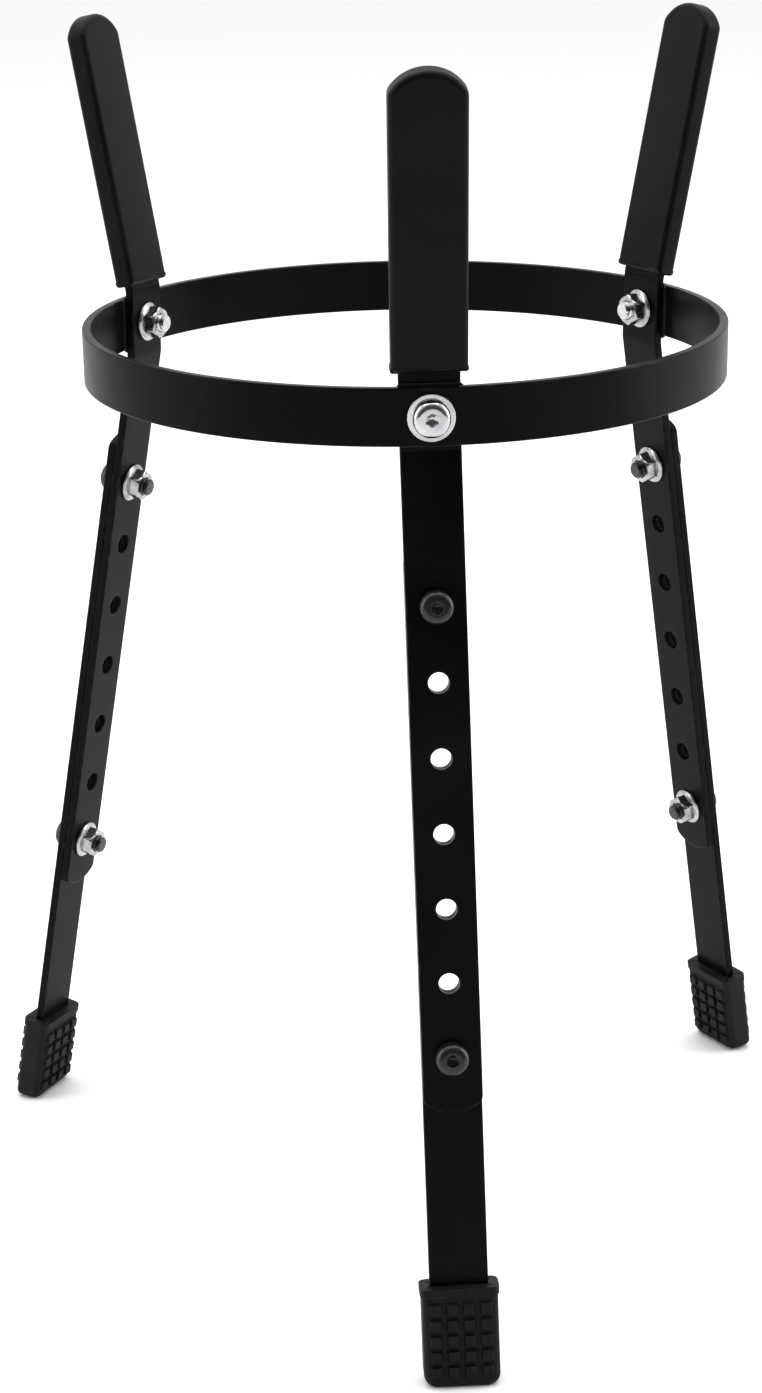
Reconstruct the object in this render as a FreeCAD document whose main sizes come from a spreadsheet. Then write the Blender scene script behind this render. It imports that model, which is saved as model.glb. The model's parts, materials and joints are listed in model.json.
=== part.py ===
import FreeCAD, Part
import os

import Sketcher
from FreeCAD import Placement, Rotation, Vector

# A three-legged stand that cradles a conga drum. Flat steel bars stand inside a rolled hoop, one bolt
# each. Above the hoop each bar leans out as a sleeved arm, and below it each bar splays out as a leg.
# A second bar with a rubber foot is bolted to every leg through a row of holes, to set the height.
# Frame: millimetres, +Z up, origin on the floor under the middle of the hoop, front leg towards -Y.

SIZES = (
    ("ring_outer_dia", 286, "hoop, outside diameter"),
    ("ring_wall", 4, "hoop, thickness of the rolled bar"),
    ("ring_band", 24, "hoop, height of the rolled bar"),
    ("edge_round", 0.7, "rounding along the edges of the steel bars"),
    ("bar_width", 25, "width of the leg and arm bars"),
    ("bar_thick", 4, "thickness of the leg and arm bars"),
    ("bar_end_radius", 18, "radius of a bar's arched end"),
    ("bar_shoulder", 4, "rounding where the arched end meets the bar's sides"),
    ("bend_radius", 6, "inside radius of the bends above and below the hoop"),
    ("seat_height", 30, "straight stretch of bar against the spacer"),
    ("splay", 10, "lean of the legs, degrees"),
    ("swivel_front", 0.7, "how far the front leg is set round on its hoop bolt, degrees"),
    ("swivel_left", 1.9, "the same for the left leg"),
    ("swivel_right", 1.7, "the same for the right leg"),
    ("lean", 11.5, "lean of the arms, degrees"),
    ("arm_reach", 122, "upper bend to the top of the arm bar"),
    ("first_hole", 63, "lower bend to the first leg hole"),
    ("hole_pitch", 31.5, "spacing of the leg holes"),
    ("hole_count", 7, "leg holes in each bar"),
    ("hole_play", 0.8, "leg holes and hoop holes, wider than the bolt"),
    ("pivot_play", 0.16, "upright's hole around the hoop bolt, wider than the bolt"),
    ("end_margin", 24, "outermost leg hole to the arched end of its bar"),
    ("foot_drop", 396.5, "lower bend to the floor, along the upright's outer face"),
    ("spacer_thick", 1.5, "spacer between hoop and upright, at its middle"),
    ("spacer_width", 28, "spacer, across the bar"),
    ("spacer_height", 26, "spacer, up and down"),
    ("spacer_round", 3, "spacer, corner radius"),
    ("sleeve_side", 3, "arm sleeve, wall beyond each side of the bar"),
    ("sleeve_wall", 3, "arm sleeve, wall on each wide side"),
    ("sleeve_tip", 3.5, "arm sleeve, wall over the tip"),
    ("sleeve_gap", 2.5, "upper bend to the open end of the sleeve"),
    ("sleeve_round", 2.4, "arm sleeve, rounding along its edges"),
    ("sleeve_corner", 5, "arm sleeve, rounding of its four corners"),
    ("foot_side", 3.8, "rubber foot, wall beyond each side of the bar"),
    ("foot_cheek", 4.5, "rubber foot, wall on each wide face, without its tread"),
    ("foot_height", 44, "rubber foot, floor to rim along the leg"),
    ("foot_sole", 7, "rubber under the end of the bar"),
    ("sole_cut", 0.2, "least depth that is cut off the boot to make its sole level"),
    ("foot_round", 2.5, "rubber foot, rounding of the upright edges"),
    ("foot_corner", 5, "rubber foot, rounding of the lower corners"),
    ("rim_height", 3.5, "rim around the mouth of the foot"),
    ("rim_proud", 0.6, "how far the rim stands out"),
    ("tread_drop", 9, "rim's top to the middle of the first row of tread blocks"),
    ("tread_rows", 5, "rows of tread blocks on each wide face"),
    ("tread_columns", 4, "columns of tread blocks on each wide face"),
    ("tread_down", 6.9, "spacing of the rows"),
    ("tread_across", 7.2, "spacing of the columns"),
    ("tread_block", 5, "side of a tread block"),
    ("tread_proud", 2, "how far a tread block stands out"),
    ("bolt_dia", 8, "every bolt's shank"),
    ("bolt_chamfer", 0.8, "bolt, chamfer at the end of the shank"),
    ("bolt_end", 3, "bolt, shank past the nut"),
    ("leg_head_dia", 14, "leg bolt, head"),
    ("leg_head_height", 6.4, "leg bolt, head"),
    ("ring_head_dia", 15.5, "hoop bolt, head"),
    ("ring_head_height", 4.8, "hoop bolt, head"),
    ("head_dome", 3.2, "radius of the domed edge of a bolt head"),
    ("socket_flats", 5, "hex socket, across flats"),
    ("socket_depth", 2.8, "hex socket, depth"),
    ("washer_dia", 19.5, "hoop washer, outside diameter"),
    ("washer_play", 0.4, "hoop washer, bore wider than the bolt"),
    ("washer_thick", 1.6, "hoop washer, thickness"),
    ("nut_flats", 13, "flange nut, across flats"),
    ("nut_height", 7.6, "flange nut, height"),
    ("flange_dia", 17.8, "flange nut, flange diameter"),
    ("flange_thick", 1.6, "flange nut, flange thickness"),
    ("nut_chamfer", 0.8, "flange nut, chamfer of its corners and flange"),
    ("fit_gap", 0.05, "rubber on steel, gap on each side"),
)

# Turn of each leg about the hoop's axis, and whether its extension bar lies inside the upright.
LEGS = {"front": (-90, True), "left": (150, False), "right": (30, False)}

RING_INNER = "(Sizes.ring_outer_dia / 2 - Sizes.ring_wall)"
SEAT_X = f"({RING_INNER} - Sizes.spacer_thick)"
HALF_SEAT = "(Sizes.seat_height / 2)"
HALF_BAR = "(Sizes.bar_width / 2)"
LEG_MITRE = "(Sizes.bar_thick * tan(Sizes.splay * 0.5 deg))"
ARM_MITRE = "(Sizes.bar_thick * tan(Sizes.lean * 0.5 deg))"
BAR_END = "(Sizes.foot_drop - Sizes.foot_sole)"
FOOT_TOP = "(Sizes.foot_drop - Sizes.foot_height)"
FOOT_WIDTH = "(Sizes.bar_width + 2 * Sizes.foot_side)"
FOOT_THICK = "(Sizes.bar_thick + 2 * Sizes.foot_cheek)"
SLEEVE_WIDTH = "(Sizes.bar_width + 2 * Sizes.sleeve_side)"
HOLE_DIA = "(Sizes.bolt_dia + Sizes.hole_play)"
LEG_REACH = "(Sizes.first_hole + (Sizes.hole_count - 1) * Sizes.hole_pitch + Sizes.end_margin)"

doc = FreeCAD.newDocument("CongaStand")
sizes = doc.addObject("Spreadsheet::Sheet", "Sizes")
for row, (alias, value, note) in enumerate(SIZES, start=1):
    sizes.set(f"A{row}", alias)
    sizes.set(f"B{row}", str(value))
    sizes.set(f"C{row}", note)
    sizes.setAlias(f"B{row}", alias)
doc.recompute()
pieces = []


def value_of(expression):
    return float(sizes.evalExpression(expression.replace("Sizes.", "")))


def new_body(name, placement):
    body = doc.addObject("PartDesign::Body", name)
    body.Label = name
    body.Placement = placement
    pieces.append(body)
    return body


def new_sketch(body, plane, name, offset=None):
    """A sketch on one of the body's own origin planes, raised along its normal by offset."""
    sketch = body.newObject("Sketcher::SketchObject", name)
    support = next(item for item in body.Origin.OriginFeatures if item.Role == plane)
    sketch.AttachmentSupport = [(support, "")]
    sketch.MapMode = "FlatFace"
    if offset:
        sketch.setExpression("AttachmentOffset.Base.z", offset)
    return sketch


def tie(sketch, kind, targets, expression):
    index = sketch.addConstraint(Sketcher.Constraint(kind, *targets, value_of(expression)))
    sketch.setExpression(f"Constraints[{index}]", expression)


def draw_outline(sketch, corners):
    """A closed outline of straight lines, each corner an (x, y) pair of expressions."""
    points = [Vector(value_of(x), value_of(y), 0) for x, y in corners]
    first = sketch.GeometryCount
    for start, end in zip(points, points[1:] + points[:1]):
        sketch.addGeometry(Part.LineSegment(start, end))
    for number, (x, y) in enumerate(corners):
        line = first + number
        previous = first + (number - 1) % len(corners)
        sketch.addConstraint(Sketcher.Constraint("Coincident", previous, 2, line, 1))
        tie(sketch, "DistanceX", (-1, 1, line, 1), x)
        tie(sketch, "DistanceY", (-1, 1, line, 1), y)


def draw_box(sketch, x_low, x_high, y_low, y_high):
    draw_outline(sketch, ((x_low, y_low), (x_high, y_low), (x_high, y_high), (x_low, y_high)))


def draw_circle(sketch, y, diameter):
    """A circle centred on the sketch's vertical axis."""
    centre = Vector(0, value_of(y), 0)
    circle = sketch.addGeometry(Part.Circle(centre, Vector(0, 0, 1), value_of(diameter) / 2))
    sketch.addConstraint(Sketcher.Constraint("PointOnObject", circle, 3, -2))
    tie(sketch, "DistanceY", (-1, 1, circle, 3), y)
    tie(sketch, "Diameter", (circle,), diameter)


def draw_hexagon(sketch, flats):
    """A hexagon around the origin with two corners on the vertical axis."""
    corner = f"({flats} / sqrt(3))"
    side = f"({flats} / 2)"
    draw_outline(sketch, (
        ("0", corner), (f"-{side}", f"{corner} / 2"), (f"-{side}", f"-{corner} / 2"),
        ("0", f"-{corner}"), (side, f"-{corner} / 2"), (side, f"{corner} / 2"),
    ))


def draw_strip(sketch, half_width, flat_end, round_end, radius):
    """A bar seen on its wide face, square at flat_end and arched at round_end."""
    half, flat, tip, bow = (value_of(item) for item in (half_width, flat_end, round_end, radius))
    up = 1 if tip > flat else -1
    centre = tip - up * bow
    shoulder = centre + up * (bow**2 - half**2) ** 0.5
    circle = Part.Circle(Vector(0, centre, 0), Vector(0, 0, 1), bow)
    ends = sorted(circle.parameter(Vector(x, shoulder, 0)) for x in (half, -half))
    first = sketch.GeometryCount
    sketch.addGeometry(Part.LineSegment(Vector(half, flat, 0), Vector(half, shoulder, 0)))
    sketch.addGeometry(Part.ArcOfCircle(circle, *ends))
    sketch.addGeometry(Part.LineSegment(Vector(-half, shoulder, 0), Vector(-half, flat, 0)))
    sketch.addGeometry(Part.LineSegment(Vector(-half, flat, 0), Vector(half, flat, 0)))
    right, arc, left, base = range(first, first + 4)
    arc_right, arc_left = (1, 2) if up > 0 else (2, 1)
    joints = ((right, 2, arc, arc_right), (arc, arc_left, left, 1), (left, 2, base, 1), (base, 2, right, 1))
    for joint in joints:
        sketch.addConstraint(Sketcher.Constraint("Coincident", *joint))
    sketch.addConstraint(Sketcher.Constraint("Vertical", right))
    sketch.addConstraint(Sketcher.Constraint("Vertical", left))
    sketch.addConstraint(Sketcher.Constraint("Horizontal", base))
    sketch.addConstraint(Sketcher.Constraint("PointOnObject", arc, 3, -2))
    tie(sketch, "DistanceX", (-1, 1, right, 1), half_width)
    tie(sketch, "DistanceX", (-1, 1, left, 2), f"-({half_width})")
    tie(sketch, "DistanceY", (-1, 1, right, 1), flat_end)
    tie(sketch, "Radius", (arc,), radius)
    tie(sketch, "DistanceY", (-1, 1, arc, 3), f"{round_end} {'-' if up > 0 else '+'} ({radius})")


def extrude(body, kind, sketch, length, reverse=False, symmetric=False):
    """A Pad or a Pocket of a sketch. A Pad runs along the sketch's normal, a Pocket against it."""
    feature = body.newObject(f"PartDesign::{kind}", kind)
    feature.Profile = sketch
    feature.setExpression("Length", length)
    feature.Reversed = reverse
    if symmetric:
        feature.SideType = "Symmetric"
    doc.recompute()
    return feature


def revolve(body, sketch, axis):
    feature = body.newObject("PartDesign::Revolution", "Revolution")
    feature.Profile = sketch
    feature.ReferenceAxis = (sketch, [axis])
    feature.Angle = 360
    doc.recompute()
    return feature


def dress(body, kind, base, size, wanted):
    """A Fillet or a Chamfer on every edge of base that wanted accepts."""
    names = [f"Edge{number}" for number, edge in enumerate(base.Shape.Edges, start=1) if wanted(edge)]
    feature = body.newObject(f"PartDesign::{kind}", kind)
    feature.Base = (base, names)
    feature.setExpression("Radius" if kind == "Fillet" else "Size", size)
    doc.recompute()
    return feature


def runs_along(edge, axis):
    """True for a straight edge parallel to axis."""
    return isinstance(edge.Curve, Part.Line) and abs(edge.Curve.Direction.dot(axis)) > 0.999


def is_circle(edge, radius):
    return isinstance(edge.Curve, Part.Circle) and abs(edge.Curve.Radius - radius) < 0.01


X_AXIS, Y_AXIS, Z_AXIS = Vector(1, 0, 0), Vector(0, 1, 0), Vector(0, 0, 1)

splay = value_of("Sizes.splay")
lean = value_of("Sizes.lean")
bar_thick = value_of("Sizes.bar_thick")
hole_spots = [f"-(Sizes.first_hole + {number} * Sizes.hole_pitch)"
              for number in range(int(value_of("Sizes.hole_count")))]
# The line down a leg's outer face meets the floor foot_drop below the bend, and that sets the hoop's height.
ring_z = value_of(f"{HALF_SEAT} + Sizes.foot_drop * cos(Sizes.splay * 1 deg)")


def stand_frame(name):
    """Origin on the hoop's axis at its middle height, +X outward towards one leg."""
    turn, _ = LEGS[name]
    return Placement(Vector(0, 0, ring_z), Rotation(Z_AXIS, turn))


def hoop_frame(name):
    """Origin where the hoop bolt passes the outer face of the upright, square to the hoop."""
    return stand_frame(name) * Placement(Vector(value_of(SEAT_X), 0, 0), Rotation())


def seat_frame(name):
    """The hoop frame turned about the bolt as far as the leg is."""
    return hoop_frame(name) * Placement(Vector(), Rotation(X_AXIS, value_of(f"Sizes.swivel_{name}")))


def leg_frame(name, outward=0):
    """Origin at the lower bend on the upright's outer face, +Z back up the leg, +X out of its face."""
    bend = Placement(Vector(0, 0, -value_of(HALF_SEAT)), Rotation(Y_AXIS, -splay))
    return seat_frame(name) * bend * Placement(Vector(outward, 0, 0), Rotation())


def arm_frame(name):
    """Origin at the upper bend on the upright's outer face, +Z up the arm, +X out of its face."""
    return seat_frame(name) * Placement(Vector(0, 0, value_of(HALF_SEAT)), Rotation(Y_AXIS, lean))


def build_ring():
    body = new_body("ring", stand_frame("front"))
    section = new_sketch(body, "XZ_Plane", "Section")
    draw_box(section, RING_INNER, "Sizes.ring_outer_dia / 2", "-Sizes.ring_band / 2", "Sizes.ring_band / 2")
    hoop = revolve(body, section, "V_Axis")
    hoop = dress(body, "Fillet", hoop, "Sizes.edge_round", lambda edge: isinstance(edge.Curve, Part.Circle))
    hole = new_sketch(body, "YZ_Plane", "BoltHole")
    draw_circle(hole, "0", HOLE_DIA)
    drilled = extrude(body, "Pocket", hole, "Sizes.ring_outer_dia", reverse=True)
    pattern = body.newObject("PartDesign::PolarPattern", "BoltHoles")
    pattern.Originals = [drilled]
    pattern.Axis = (section, ["V_Axis"])
    pattern.Angle = 360
    pattern.Occurrences = len(LEGS)
    body.Tip = pattern
    doc.recompute()


def build_spacer(name):
    body = new_body(f"spacer_{name}", hoop_frame(name))
    outline = new_sketch(body, "XY_Plane", "Outline")
    half = value_of("Sizes.spacer_width") / 2
    inner = value_of(RING_INNER)
    seat = value_of(SEAT_X)
    edge_x = (inner**2 - half**2) ** 0.5 - seat
    outline.addGeometry(Part.LineSegment(Vector(0, -half, 0), Vector(edge_x, -half, 0)))
    outline.addGeometry(Part.Arc(Vector(edge_x, -half, 0), Vector(inner - seat, 0, 0),
                                 Vector(edge_x, half, 0)))
    outline.addGeometry(Part.LineSegment(Vector(edge_x, half, 0), Vector(0, half, 0)))
    outline.addGeometry(Part.LineSegment(Vector(0, half, 0), Vector(0, -half, 0)))
    for joint in ((0, 2, 1, 1), (1, 2, 2, 1), (2, 2, 3, 1), (3, 2, 0, 1)):
        outline.addConstraint(Sketcher.Constraint("Coincident", *joint))
    outline.addConstraint(Sketcher.Constraint("Horizontal", 0))
    outline.addConstraint(Sketcher.Constraint("Horizontal", 2))
    outline.addConstraint(Sketcher.Constraint("PointOnObject", 0, 1, -2))
    outline.addConstraint(Sketcher.Constraint("PointOnObject", 3, 1, -2))
    outline.addConstraint(Sketcher.Constraint("PointOnObject", 1, 3, -1))
    tie(outline, "DistanceY", (-1, 1, 0, 1), "-Sizes.spacer_width / 2")
    tie(outline, "DistanceY", (-1, 1, 2, 2), "Sizes.spacer_width / 2")
    tie(outline, "DistanceX", (-1, 1, 1, 3), f"-{SEAT_X}")
    tie(outline, "Radius", (1,), RING_INNER)
    block = extrude(body, "Pad", outline, "Sizes.spacer_height", symmetric=True)
    block = dress(body, "Fillet", block, "Sizes.spacer_round", lambda edge: runs_along(edge, X_AXIS))
    hole = new_sketch(body, "YZ_Plane", "BoltHole")
    draw_circle(hole, "0", HOLE_DIA)
    extrude(body, "Pocket", hole, "2 * Sizes.spacer_thick", reverse=True)


def build_upright(name):
    body = new_body(f"upright_{name}", seat_frame(name))
    seat = new_sketch(body, "YZ_Plane", "Seat")
    draw_box(seat, f"-{HALF_BAR}", HALF_BAR, f"-{HALF_SEAT} - {LEG_MITRE}", f"{HALF_SEAT} + {ARM_MITRE}")
    draw_circle(seat, "0", "Sizes.bolt_dia + Sizes.pivot_play")
    extrude(body, "Pad", seat, "Sizes.bar_thick", reverse=True)

    leg = new_sketch(body, "YZ_Plane", "Leg")
    leg.AttachmentOffset = Placement(Vector(), Rotation(-X_AXIS, splay))
    leg.setExpression("AttachmentOffset.Base.y", f"-{HALF_SEAT}")
    leg.setExpression("AttachmentOffset.Rotation.Angle", "Sizes.splay")
    draw_strip(leg, HALF_BAR, LEG_MITRE, f"-{LEG_REACH}", "Sizes.bar_end_radius")
    for spot in hole_spots:
        draw_circle(leg, spot, HOLE_DIA)
    extrude(body, "Pad", leg, "Sizes.bar_thick", reverse=True)

    arm = new_sketch(body, "YZ_Plane", "Arm")
    arm.AttachmentOffset = Placement(Vector(), Rotation(X_AXIS, lean))
    arm.setExpression("AttachmentOffset.Base.y", HALF_SEAT)
    arm.setExpression("AttachmentOffset.Rotation.Angle", "Sizes.lean")
    draw_strip(arm, HALF_BAR, f"-{ARM_MITRE}", "Sizes.arm_reach", "Sizes.bar_end_radius")
    bar = extrude(body, "Pad", arm, "Sizes.bar_thick", reverse=True)

    near_seat = value_of(HALF_SEAT) + bar_thick

    def bend_edge(edge, outer):
        on_face = abs(edge.CenterOfMass.x) < 0.01 if outer else abs(edge.CenterOfMass.x + bar_thick) < 0.01
        return runs_along(edge, Y_AXIS) and on_face and abs(edge.CenterOfMass.z) < near_seat

    bar = dress(body, "Fillet", bar, "Sizes.bend_radius", lambda edge: bend_edge(edge, True))
    bar = dress(body, "Fillet", bar, "Sizes.bend_radius + Sizes.bar_thick",
                lambda edge: bend_edge(edge, False))
    half_bar = value_of(HALF_BAR)

    def on_side(edge):
        return abs(abs(edge.CenterOfMass.y) - half_bar) < 0.01 and abs(edge.CenterOfMass.z) > near_seat

    def shoulder_edge(edge):
        return on_side(edge) and isinstance(edge.Curve, Part.Line) and abs(edge.Length - bar_thick) < 0.01

    bar = dress(body, "Fillet", bar, "Sizes.bar_shoulder", shoulder_edge)
    dress(body, "Fillet", bar, "Sizes.edge_round", lambda edge: on_side(edge) and edge.Length > 2 * bar_thick)


def build_extension(name, outward):
    body = new_body(f"leg_extension_{name}", leg_frame(name, outward))
    face = new_sketch(body, "YZ_Plane", "Face")
    draw_strip(face, HALF_BAR, f"-{BAR_END}", "-(Sizes.first_hole - Sizes.end_margin)",
               "Sizes.bar_end_radius")
    for spot in hole_spots:
        draw_circle(face, spot, HOLE_DIA)
    bar = extrude(body, "Pad", face, "Sizes.bar_thick")

    half_bar = value_of(HALF_BAR)
    top_z = -value_of("Sizes.first_hole")

    def shoulder_edge(edge):
        return runs_along(edge, X_AXIS) and edge.CenterOfMass.z > top_z

    bar = dress(body, "Fillet", bar, "Sizes.bar_shoulder", shoulder_edge)
    dress(body, "Fillet", bar, "Sizes.edge_round",
          lambda edge: runs_along(edge, Z_AXIS) and abs(abs(edge.CenterOfMass.y) - half_bar) < 0.01)


def build_sleeve(name):
    body = new_body(f"sleeve_{name}", arm_frame(name))
    face = new_sketch(body, "YZ_Plane", "Face", "Sizes.sleeve_wall")
    draw_strip(face, f"{SLEEVE_WIDTH} / 2", "Sizes.sleeve_gap", "Sizes.arm_reach + Sizes.sleeve_tip",
               "Sizes.bar_end_radius")
    cover = extrude(body, "Pad", face, "Sizes.bar_thick + 2 * Sizes.sleeve_wall", reverse=True)
    cover = dress(body, "Fillet", cover, "Sizes.sleeve_corner", lambda edge: runs_along(edge, X_AXIS))
    cover = dress(body, "Fillet", cover, "Sizes.sleeve_round", lambda edge: runs_along(edge, Z_AXIS))
    socket = new_sketch(body, "YZ_Plane", "Socket", "Sizes.fit_gap")
    draw_strip(socket, f"{HALF_BAR} + Sizes.fit_gap", "-Sizes.sleeve_gap", "Sizes.arm_reach + Sizes.fit_gap",
               "Sizes.bar_end_radius + Sizes.fit_gap")
    extrude(body, "Pocket", socket, "Sizes.bar_thick + 2 * Sizes.fit_gap")


def build_foot(name, outward):
    """A boot in the leg's frame, moved to the middle of the extension bar's thickness."""
    middle = outward + bar_thick / 2
    body = new_body(f"foot_{name}", leg_frame(name, middle))
    # The boot slants with the floor and is drawn a little too long, and the floor then cuts it level.
    side = new_sketch(body, "XZ_Plane", "Side")
    spare = f"({FOOT_WIDTH} / 2 * tan(Sizes.swivel_{name} * 1 deg) + Sizes.sole_cut)"
    drop = f"(Sizes.foot_drop + {middle} * tan(Sizes.splay * 1 deg) + {spare})"
    half_thick = f"({FOOT_THICK} / 2)"
    slant = f"({half_thick} * tan(Sizes.splay * 1 deg))"
    draw_outline(side, (
        (f"-{half_thick}", f"-{drop} + {slant}"), (half_thick, f"-{drop} - {slant}"),
        (half_thick, f"-{FOOT_TOP}"), (f"-{half_thick}", f"-{FOOT_TOP}"),
    ))
    boot = extrude(body, "Pad", side, FOOT_WIDTH, symmetric=True)
    half_width = value_of(FOOT_WIDTH) / 2

    def on_narrow_side(edge):
        return abs(abs(edge.CenterOfMass.y) - half_width) < 0.01

    sole_top = -value_of(BAR_END)

    def lower_corner(edge):
        return on_narrow_side(edge) and edge.CenterOfMass.z < sole_top

    boot = dress(body, "Fillet", boot, "Sizes.foot_corner", lower_corner)
    boot = dress(body, "Fillet", boot, "Sizes.foot_round",
                 lambda edge: on_narrow_side(edge) and runs_along(edge, Z_AXIS))

    ground = new_sketch(body, "XY_Plane", "Ground")
    under = body.Placement.multVec(Vector(0, 0, -value_of("Sizes.foot_drop")))
    ground.AttachmentOffset = body.Placement.inverse() * Placement(Vector(under.x, under.y, 0), Rotation())
    draw_box(ground, f"-{FOOT_WIDTH}", FOOT_WIDTH, f"-{FOOT_WIDTH}", FOOT_WIDTH)
    extrude(body, "Pocket", ground, "Sizes.foot_sole")

    rim = new_sketch(body, "XY_Plane", "Rim", f"-{FOOT_TOP}")
    rim_x = f"({half_thick} + Sizes.rim_proud)"
    rim_y = f"({FOOT_WIDTH} / 2 + Sizes.rim_proud)"
    draw_box(rim, f"-{rim_x}", rim_x, f"-{rim_y}", rim_y)
    lip = extrude(body, "Pad", rim, "Sizes.rim_height", reverse=True)
    rim_reach = value_of(rim_y)
    dress(body, "Fillet", lip, "Sizes.foot_round",
          lambda edge: runs_along(edge, Z_AXIS) and abs(abs(edge.CenterOfMass.y) - rim_reach) < 0.01)

    # One block through the boot is a block on each wide face, and the socket then empties the middle.
    block = new_sketch(body, "YZ_Plane", "TreadBlock")
    left = "-(Sizes.tread_across * (Sizes.tread_columns - 1) / 2)"
    row = f"-({FOOT_TOP} + Sizes.tread_drop)"
    draw_box(block, f"{left} - Sizes.tread_block / 2", f"{left} + Sizes.tread_block / 2",
             f"{row} - Sizes.tread_block / 2", f"{row} + Sizes.tread_block / 2")
    one = extrude(body, "Pad", block, f"{FOOT_THICK} + 2 * Sizes.tread_proud", symmetric=True)
    tread = body.newObject("PartDesign::LinearPattern", "Tread")
    tread.Originals = [one]
    tread.Direction = (block, ["V_Axis"])
    tread.Reversed = True
    tread.Mode = "Spacing"
    tread.setExpression("Offset", "Sizes.tread_down")
    tread.Occurrences = int(value_of("Sizes.tread_rows"))
    tread.Direction2 = (block, ["H_Axis"])
    tread.Mode2 = "Spacing"
    tread.setExpression("Offset2", "Sizes.tread_across")
    tread.Occurrences2 = int(value_of("Sizes.tread_columns"))
    body.Tip = tread
    doc.recompute()

    socket = new_sketch(body, "XY_Plane", "Socket", f"-{FOOT_TOP}")
    draw_box(socket, "-Sizes.bar_thick / 2 - Sizes.fit_gap", "Sizes.bar_thick / 2 + Sizes.fit_gap",
             f"-{HALF_BAR} - Sizes.fit_gap", f"{HALF_BAR} + Sizes.fit_gap")
    extrude(body, "Pocket", socket, f"{BAR_END} - {FOOT_TOP}")


def build_bolt(name, placement, head_dia, head_height, grip):
    """A domed head outside the plane x = 0, and a shank from it through the grip, a nut and bolt_end."""
    body = new_body(name, placement)
    profile = new_sketch(body, "XZ_Plane", "Profile")
    tip = f"-({grip} + Sizes.nut_height + Sizes.bolt_end)"
    draw_outline(profile, (
        (tip, "0"), (head_height, "0"), (head_height, f"{head_dia} / 2"), ("0", f"{head_dia} / 2"),
        ("0", "Sizes.bolt_dia / 2"), (tip, "Sizes.bolt_dia / 2"),
    ))
    bolt = revolve(body, profile, "H_Axis")

    def circle_at(edge, diameter, x):
        return is_circle(edge, value_of(diameter) / 2) and abs(edge.CenterOfMass.x - value_of(x)) < 0.01

    bolt = dress(body, "Fillet", bolt, "Sizes.head_dome", lambda edge: circle_at(edge, head_dia, head_height))
    dress(body, "Chamfer", bolt, "Sizes.bolt_chamfer", lambda edge: circle_at(edge, "Sizes.bolt_dia", tip))
    socket = new_sketch(body, "YZ_Plane", "Socket", head_height)
    draw_hexagon(socket, "Sizes.socket_flats")
    extrude(body, "Pocket", socket, "Sizes.socket_depth")


def build_nut(name, placement):
    """A flange nut whose bearing face is the plane x = 0, on the side away from its hexagon."""
    body = new_body(name, placement)
    hexagon = new_sketch(body, "YZ_Plane", "Hexagon")
    draw_hexagon(hexagon, "Sizes.nut_flats")
    nut = extrude(body, "Pad", hexagon, "Sizes.nut_height", reverse=True)
    far = -value_of("Sizes.nut_height")
    nut = dress(body, "Chamfer", nut, "Sizes.nut_chamfer",
                lambda edge: abs(edge.CenterOfMass.x - far) < 0.01)
    flange = new_sketch(body, "YZ_Plane", "Flange")
    draw_circle(flange, "0", "Sizes.flange_dia")
    nut = extrude(body, "Pad", flange, "Sizes.flange_thick", reverse=True)
    rim_x = -value_of("Sizes.flange_thick")
    nut = dress(body, "Chamfer", nut, "Sizes.nut_chamfer",
                lambda edge: is_circle(edge, value_of("Sizes.flange_dia") / 2)
                and abs(edge.CenterOfMass.x - rim_x) < 0.01)
    bore = new_sketch(body, "YZ_Plane", "Bore")
    draw_circle(bore, "0", "Sizes.bolt_dia")
    extrude(body, "Pocket", bore, "2 * Sizes.nut_height", symmetric=True)


def build_washer(name, placement):
    body = new_body(name, placement)
    ring = new_sketch(body, "YZ_Plane", "Annulus")
    draw_circle(ring, "0", "Sizes.washer_dia")
    draw_circle(ring, "0", "Sizes.bolt_dia + Sizes.washer_play")
    extrude(body, "Pad", ring, "Sizes.washer_thick")


build_ring()
for name, (_, extension_inside) in LEGS.items():
    build_spacer(name)
    build_upright(name)
    build_sleeve(name)
    extension_x = -2 * bar_thick if extension_inside else 0
    build_extension(name, extension_x)
    build_foot(name, extension_x)

    ring_face = value_of("Sizes.spacer_thick + Sizes.ring_wall")
    washer_face = ring_face + value_of("Sizes.washer_thick")
    build_washer(f"ring_washer_{name}", hoop_frame(name) * Placement(Vector(ring_face, 0, 0), Rotation()))
    build_bolt(f"ring_bolt_{name}", hoop_frame(name) * Placement(Vector(washer_face, 0, 0), Rotation()),
               "Sizes.ring_head_dia", "Sizes.ring_head_height",
               "(Sizes.washer_thick + Sizes.ring_wall + Sizes.spacer_thick + Sizes.bar_thick)")
    build_nut(f"ring_nut_{name}", hoop_frame(name) * Placement(Vector(-bar_thick, 0, 0), Rotation()))

    # The two bars are clamped together, so the heads bear on the outer one and the nuts on the inner one.
    head_x = 0 if extension_inside else bar_thick
    for place, spot in (("upper", hole_spots[0]), ("lower", hole_spots[-1])):
        hole = leg_frame(name) * Placement(Vector(0, 0, value_of(spot)), Rotation())
        build_bolt(f"leg_bolt_{place}_{name}", hole * Placement(Vector(head_x, 0, 0), Rotation()),
                   "Sizes.leg_head_dia", "Sizes.leg_head_height", "(2 * Sizes.bar_thick)")
        build_nut(f"leg_nut_{place}_{name}",
                  hole * Placement(Vector(head_x - 2 * bar_thick, 0, 0), Rotation()))

doc.recompute()
for item in doc.Objects:
    if {"Invalid", "Error"} & set(item.State):
        raise RuntimeError(f"{item.Label} in {item.getParentGeoFeatureGroup()} did not compute")
for body in pieces:
    if body.Shape.isNull() or not body.Shape.isValid() or len(body.Shape.Solids) != 1:
        raise RuntimeError(f"{body.Label} is not one valid solid")

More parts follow.
